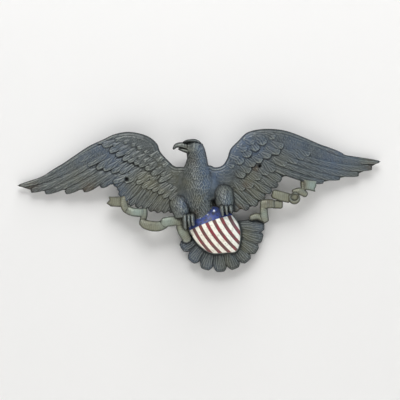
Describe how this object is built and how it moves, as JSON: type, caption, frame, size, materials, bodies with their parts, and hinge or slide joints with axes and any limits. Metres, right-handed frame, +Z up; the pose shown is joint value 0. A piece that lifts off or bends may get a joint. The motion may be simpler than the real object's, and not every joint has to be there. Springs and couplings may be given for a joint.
{
  "type": "eagle wall plaque",
  "caption": "Cast-metal wall plaque of an eagle with spread wings, fanned tail, folded ribbon and striped shield, with a flat back and screw holes in the wings.",
  "frame": {"origin": "on the flat back of the casting, behind the eagle's belly, where the plaque lies against the wall", "axes": "+X to the viewer's right along the wings, +Y into the wall, +Z up"},
  "size_m": [0.7595, 0.0693, 0.2999],
  "materials": {
    "painted_casting": "worn slate blue-green patina paint with dark recesses, satin"
  },
  "bodies": {
    "root": {"eagle_plaque": "painted_casting"}
  },
  "joints": []
}
